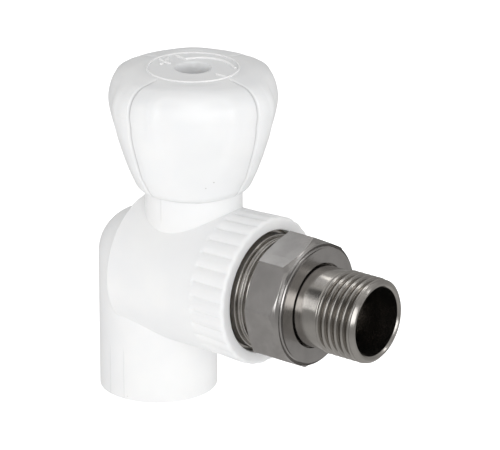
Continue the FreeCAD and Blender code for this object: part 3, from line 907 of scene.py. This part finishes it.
boss_marks = {
    "boss_rim": (arc_points(11.2, 0, 354, 59), 0.24, True),
    "plus_bar": ([(-8.1, 5.9), (-5.6, 2.9)], 0.3, False),
    "plus_upright": ([(-7.8, 2.4), (-6.0, 6.9)], 0.3, False),
    "minus_bar": ([(5.6, -5.3), (7.9, -7.5)], 0.3, False),
    "arrow_barb": ([(-3.9, 8.8), (-1.9, 6.3)], 0.34, False),
    "arrow_sweep": (through([(-1.9, 6.3), (2.5, 7.2), (6.2, 5.7), (8.7, 2.9), (10.2, -1.0)], 6), 0.34, False),
}
for name, (points, radius, closed) in boss_marks.items():
    piece_of(name, raised_line(name, points, radius, closed), [MARK_PLASTIC], "spindle", "knob_plastic")

# ---------------------------------------------------------------------------------------------------------
# The fasteners that hold the knob down the stem: a cross-slot screw, its washer, and the pressed stop
# washer under the knob, all zinc-plated steel.
# ---------------------------------------------------------------------------------------------------------


def zinc(recipe):
    place = recipe.place()
    spangle = recipe.node("ShaderNodeTexVoronoi", values={"Vector": place, "Scale": 900.0}, out="Color")
    grey, _, _ = recipe.split(spangle)
    worn = recipe.cloud(place, 500.0, 3.0)
    tint = recipe.blend(grey, (0.56, 0.58, 0.60, 1), (0.66, 0.67, 0.68, 1))
    return {
        "Base Color": recipe.blend(worn.step(0.5, 0.8) * 0.5, tint, (0.42, 0.41, 0.38, 1)),
        "Metallic": 1.0,
        "Roughness": 0.28 + 0.16 * worn + 0.06 * grey,
        "Normal": recipe.relief(worn, 0.015 * MM, 0.4),
    }


ZINC = material_from("zinc_steel", zinc)
for node in ("knob_screw", "knob_washer", "stop_washer"):
    piece_of(node + "_zinc", machined_copy(node), [ZINC], "spindle", "zinc_steel", node)

# ---------------------------------------------------------------------------------------------------------
# The gland: a threaded brass insert moulded into the neck, the gland screw in it, and the stem through
# both, all bare turned brass.
# ---------------------------------------------------------------------------------------------------------


def brass(recipe):
    place = recipe.place()
    x, y, z = recipe.split(place)
    marks = recipe.cloud(recipe.join(0.0, 0.0, z * 8), 900.0, 3.0)
    dull = recipe.cloud(place, 180.0, 4.0)
    tint = recipe.blend(dull.step(0.35, 0.75), (0.80, 0.60, 0.30, 1), (0.62, 0.44, 0.20, 1))
    return {
        "Base Color": tint,
        "Metallic": 1.0,
        "Roughness": 0.20 + 0.16 * dull + 0.06 * marks,
        "Normal": recipe.relief(marks, 0.012 * MM, 0.5),
    }


BRASS = material_from("brass", brass)
for node in ("neck_insert", "gland_screw"):
    piece_of(node + "_brass", machined_copy(node), [BRASS], "valve", "brass", node)
piece_of("stem_brass", machined_copy("stem"), [BRASS], "spindle", "brass", "stem")

# ---------------------------------------------------------------------------------------------------------
# The ball: forged brass, bored through, hard chromed and lapped to a mirror so that the seats can seal.
# ---------------------------------------------------------------------------------------------------------


def lapped_chrome(recipe):
    place = recipe.place()
    lap = recipe.cloud(place, 2400.0, 2.0)
    film = recipe.cloud(place, 160.0, 2.0)
    return {
        "Base Color": recipe.blend(film.step(0.4, 0.7), (0.72, 0.74, 0.76, 1), (0.66, 0.67, 0.69, 1)),
        "Metallic": 1.0,
        "Roughness": 0.05 + 0.04 * lap + 0.04 * film,
        "Normal": recipe.relief(lap, 0.004 * MM, 0.3),
    }


CHROME = material_from("chromed_brass", lapped_chrome)
piece_of("ball_chromed", machined_copy("ball"), [CHROME], "ball", "chromed_brass", "ball")

# ---------------------------------------------------------------------------------------------------------
# The seats either side of the ball and the stem's thrust washer, turned from white fluoroplastic.
# ---------------------------------------------------------------------------------------------------------


def fluoroplastic(recipe):
    place = recipe.place()
    waxy = recipe.cloud(place, 260.0, 3.0)
    return {
        "Base Color": recipe.blend(waxy.step(0.3, 0.7), (0.86, 0.86, 0.84, 1), (0.80, 0.80, 0.77, 1)),
        "Roughness": 0.42 + 0.16 * waxy,
        "Subsurface Weight": 0.2,
        "Subsurface Scale": 1.5 * MM,
        "Normal": recipe.relief(waxy, 0.03 * MM, 0.4),
    }


PTFE = material_from("ptfe", fluoroplastic)
for node, body in (("rear_seat", "valve"), ("front_seat", "valve"), ("stem_thrust_washer", "spindle")):
    piece_of(node + "_ring", machined_copy(node), [PTFE], body, "ptfe", node)

# ---------------------------------------------------------------------------------------------------------
# The rings that seal: the bush's, the gland's, the stem's pair and the tail's, moulded in black rubber.
# ---------------------------------------------------------------------------------------------------------


def seal_rubber(recipe):
    place = recipe.place()
    bloom = recipe.cloud(place, 420.0, 4.0)
    return {
        "Base Color": recipe.blend(bloom.step(0.4, 0.8), (0.018, 0.018, 0.019, 1), (0.045, 0.044, 0.042, 1)),
        "Roughness": 0.50 + 0.22 * bloom,
        "Normal": recipe.relief(bloom, 0.03 * MM, 0.4),
    }


RUBBER = material_from("seal_rubber", seal_rubber)
SEALS = {"bush_o_ring": "valve", "gland_o_ring": "valve", "stem_o_rings": "spindle", "tail_o_ring": "tail"}
for node, body in SEALS.items():
    piece_of(node + "_rubber", machined_copy(node), [RUBBER], body, "seal_rubber", node)

# ---------------------------------------------------------------------------------------------------------
# The setting: a plain white table, soft white light from the front, and a grey surround with a dark and a
# bright patch that the metal reflects.
# ---------------------------------------------------------------------------------------------------------

YAW = math.radians(37.94)
RISE = math.radians(20.69)
VIEW_RIGHT = Vector((math.cos(YAW), math.sin(YAW), 0))
VIEW_BACK = Vector((math.sin(YAW) * math.cos(RISE), -math.cos(YAW) * math.cos(RISE), math.sin(RISE)))
VIEW_UP = VIEW_BACK.cross(VIEW_RIGHT)
AIM = (cad_low + cad_high) / 2
CAMERA_PLACE = (0.60219, -0.73532, 0.40032)
CAMERA_LENS = 296.3
TABLE_HALF = 3.0
TABLE_GAP = 0.3 * MM


def table_white(recipe):
    place = recipe.place()
    return {
        "Base Color": recipe.blend(recipe.cloud(place, 3.0), (0.80, 0.80, 0.80, 1), (0.82, 0.82, 0.82, 1)),
        "Roughness": 0.9,
        "Emission Color": (1, 1, 1, 1),
        "Emission Strength": 0.75,
    }


table_mesh = bpy.data.meshes.new("table")
around = [(-1, -1), (1, -1), (1, 1), (-1, 1)]
corners = [(TABLE_HALF * x, TABLE_HALF * y, -TABLE_GAP) for x, y in around]
table_mesh.from_pydata(corners, [], [(0, 1, 2, 3)])
table_mesh.materials.append(material_from("table_white", table_white))
table = bpy.data.objects.new("table", table_mesh)
bpy.context.scene.collection.objects.link(table)
table.visible_glossy = False
table.visible_diffuse = False

world = bpy.data.worlds.new("studio")
bpy.context.scene.world = world
world.use_nodes = True
world.node_tree.nodes.clear()
surround = Recipe(world.node_tree)
rays = surround.node("ShaderNodeLightPath", out="Is Glossy Ray")
heading = surround.node("ShaderNodeTexCoord", out="Generated")
east, north, climb = surround.split(heading)
leftwards = -VIEW_RIGHT.x * east - VIEW_RIGHT.y * north
sweep = 0.49 + 0.46 * climb.step(1.1, -0.1) + 0.06 * leftwards.step(0.0, 0.9)
soft_white = surround.node("ShaderNodeBackground", values={"Color": (1, 1, 1, 1), "Strength": sweep})


def patch(direction, inner, outer):
    """1 within `inner` degrees of a direction, falling to 0 at `outer` degrees."""
    product = {"operation": "DOT_PRODUCT"}
    aim = surround.node("ShaderNodeVectorMath", product, {0: heading, 1: direction}, "Value")
    return aim.step(math.cos(math.radians(outer)), math.cos(math.radians(inner)))


room = 0.36 + 0.20 * climb.step(0.45, 0.75) + 0.16 * climb.step(-0.2, -0.6)
room = room * (1 - 0.9 * patch((-0.575, -0.50, 0.65), 10, 17))
room = room + 2.6 * patch((-0.575, 0.25, 0.78), 5, 8)
grey_room = surround.join(room, room * 0.985, room * 0.965)
dim_room = surround.node("ShaderNodeBackground", values={"Color": grey_room, "Strength": 1.0})
seen = surround.node("ShaderNodeMixShader", values={0: rays, 1: soft_white, 2: dim_room})
surround.node("ShaderNodeOutputWorld", values={"Surface": seen})


def softbox(name, right, up, toward, wide, high, power):
    """An area light placed by the viewer's right, up and towards, in metres from the object's middle."""
    light = bpy.data.lights.new(name, "AREA")
    light.shape = "RECTANGLE"
    light.size = wide
    light.size_y = high
    light.energy = power
    lamp = bpy.data.objects.new(name, light)
    lamp.location = AIM + VIEW_RIGHT * right + VIEW_UP * up + VIEW_BACK * toward
    lamp.rotation_mode = "QUATERNION"
    lamp.rotation_quaternion = (AIM - lamp.location).to_track_quat("-Z", "Y")
    bpy.context.scene.collection.objects.link(lamp)


softbox("front_light", 0.12, -0.12, 0.9, 0.8, 0.5, 2.8)
softbox("right_strip", 0.75, 0.15, 0.25, 0.08, 0.7, 0.5)
softbox("left_strip", -0.7, 0.25, 0.45, 0.10, 0.6, 0.3)
softbox("top_light", 0.1, 0.8, 0.1, 0.4, 0.2, 0.3)

camera_data = bpy.data.cameras.new("camera")
camera_data.lens = CAMERA_LENS
camera_data.sensor_width = 36.0
camera_data.clip_start = 0.05
camera_data.clip_end = 20.0
camera = bpy.data.objects.new("camera", camera_data)
facing = Matrix((VIEW_RIGHT, VIEW_UP, VIEW_BACK)).transposed().to_4x4()
camera.matrix_world = Matrix.Translation(CAMERA_PLACE) @ facing
bpy.context.scene.collection.objects.link(camera)
bpy.context.scene.camera = camera
bpy.context.scene.view_settings.view_transform = "Standard"
